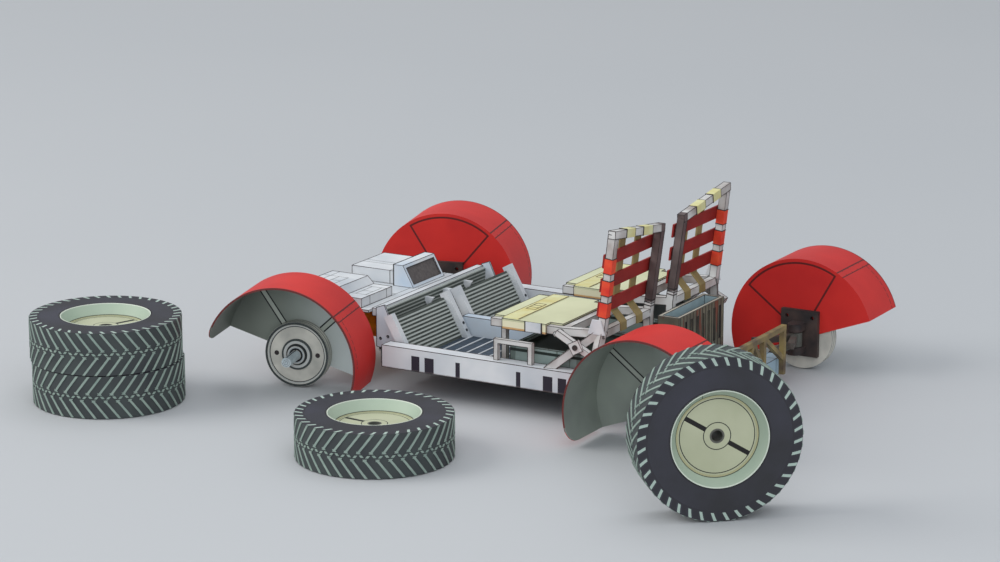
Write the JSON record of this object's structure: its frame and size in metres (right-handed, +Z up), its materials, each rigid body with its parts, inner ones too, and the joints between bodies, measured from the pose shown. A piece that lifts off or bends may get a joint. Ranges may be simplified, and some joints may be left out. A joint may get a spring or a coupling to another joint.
{
  "type": "paper model planetary rover",
  "caption": "Small card model of an open planetary rover on bare hubs, with arched fenders, two webbed seats and its wheels lying and standing beside it.",
  "frame": {"origin": "on the floor under the middle of the side beams, on the rover's centreline", "axes": "+X forward, +Y the rover's left, +Z up"},
  "size_m": [0.2835, 0.2163, 0.0655],
  "materials": {
    "white_card": "matt card",
    "slate_card": "matt card",
    "olive_card": "matt card",
    "foil": "matt card",
    "pale_blue_card": "matt card",
    "teal_card": "matt card",
    "tube_card": "matt card",
    "cream_card": "matt card",
    "webbing": "matt card",
    "brown_card": "matt card",
    "red_card": "matt card",
    "drum_card": "matt card",
    "tyre_card": "matt card",
    "rim_card": "matt card"
  },
  "bodies": {
    "rover": {"side_beam_left": "white_card", "side_beam_right": "white_card", "centre_spine": "pale_blue_card", "floor_panel": "slate_card", "front_crossbeam": "white_card", "front_bulkhead": "olive_card", "bulkhead_brackets": "white_card", "front_body": "foil", "front_platform": "white_card", "high_front_box": "white_card", "low_front_box": "white_card", "equipment_box": "white_card", "display_console": "pale_blue_card", "foot_rest_left": "olive_card", "foot_rest_right": "olive_card", "seat_box_left": "teal_card", "seat_box_right": "teal_card", "seat_frame_left": "tube_card", "seat_frame_right": "tube_card", "seat_pan_left": "cream_card", "seat_pan_right": "cream_card", "seat_webbing_left": "webbing", "seat_webbing_right": "webbing", "seat_stay_left": "tube_card", "seat_stay_right": "tube_card", "grab_frames": "tube_card", "rear_bin": "teal_card", "rear_body": "pale_blue_card", "rear_truss": "brown_card", "front_arms": "brown_card", "rear_arms": "brown_card"},
    "unit_front_left": {"knuckle_front_left": "brown_card", "fender_front_left": "red_card", "hub_front_left": "drum_card"},
    "unit_front_right": {"knuckle_front_right": "brown_card", "fender_front_right": "red_card", "hub_front_right": "drum_card"},
    "unit_rear_left": {"knuckle_rear_left": "brown_card", "fender_rear_left": "red_card", "hub_rear_left": "drum_card"},
    "unit_rear_right": {"knuckle_rear_right": "brown_card", "fender_rear_right": "red_card", "hub_rear_right": "drum_card"},
    "wheel_flat": {"tyre_flat": "tyre_card", "rim_flat": "rim_card"},
    "wheel_lower": {"tyre_lower": "tyre_card", "rim_lower": "rim_card"},
    "wheel_upper": {"tyre_upper": "tyre_card", "rim_upper": "rim_card"},
    "wheel_upright": {"tyre_upright": "tyre_card", "rim_upright": "rim_card"}
  },
  "joints": [
    {"name": "steer_front_left", "type": "hinge", "parent": "rover", "child": "unit_front_left", "pos_m": [0.074, 0.046, 0.0119], "axis": [0, 0, 1], "range_deg": [-34, 6]},
    {"name": "steer_front_right", "type": "hinge", "parent": "rover", "child": "unit_front_right", "pos_m": [0.074, -0.046, 0.0119], "axis": [0, 0, 1], "range_deg": [-34, 6]},
    {"name": "steer_rear_left", "type": "hinge", "parent": "rover", "child": "unit_rear_left", "pos_m": [-0.069, 0.046, 0.0119], "axis": [0, 0, 1], "range_deg": [-14, 14]},
    {"name": "steer_rear_right", "type": "hinge", "parent": "rover", "child": "unit_rear_right", "pos_m": [-0.069, -0.046, 0.0119], "axis": [0, 0, 1], "range_deg": [-14, 14]},
    {"name": "spin_flat", "type": "hinge", "parent": "rover", "child": "wheel_flat", "pos_m": [0.0063, 0.1106, 0.00725], "axis": [0, 0, 1], "continuous": true},
    {"name": "spin_lower", "type": "hinge", "parent": "rover", "child": "wheel_lower", "pos_m": [0.1194, 0.0988, 0.00725], "axis": [0, 0, 1], "continuous": true},
    {"name": "spin_upper", "type": "hinge", "parent": "rover", "child": "wheel_upper", "pos_m": [0.1199, 0.0991, 0.02205], "axis": [0, 0, 1], "continuous": true},
    {"name": "spin_upright", "type": "hinge", "parent": "rover", "child": "wheel_upright", "pos_m": [-0.11401, 0.11127, 0.0255], "axis": [-0.6468, 0.7627, 0], "continuous": true}
  ]
}
